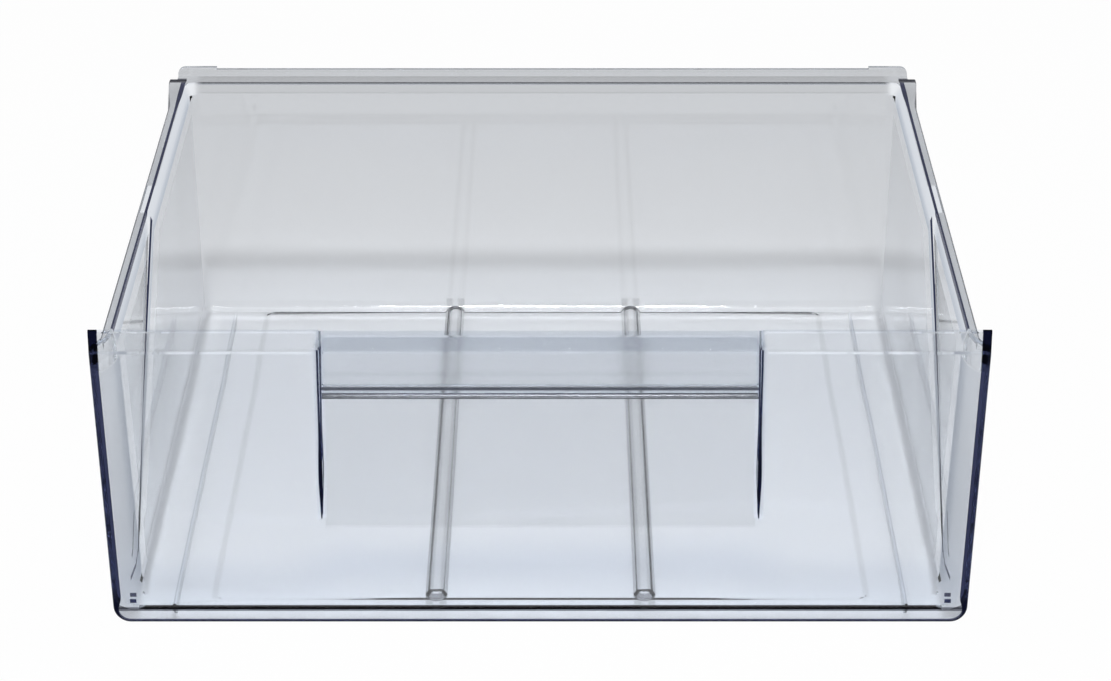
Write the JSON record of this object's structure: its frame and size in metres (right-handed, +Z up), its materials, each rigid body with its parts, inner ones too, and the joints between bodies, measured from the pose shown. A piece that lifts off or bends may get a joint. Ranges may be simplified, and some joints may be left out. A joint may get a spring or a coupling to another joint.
{
  "type": "freezer drawer",
  "caption": "Clear moulded freezer drawer: open tray with rim flanges, a flat front panel with a recessed grip behind a drop lip, floor beads and runner ribs.",
  "frame": {"origin": "centre of the bounding box at the bottom, on the surface the drawer stands on", "axes": "+X to the right seen from the front, +Y from the front panel towards the back wall, +Z up"},
  "size_m": [0.405, 0.364, 0.1475],
  "materials": {
    "clear_plastic": "polished clear"
  },
  "bodies": {
    "root": {"freezer_drawer": "clear_plastic"}
  },
  "joints": []
}
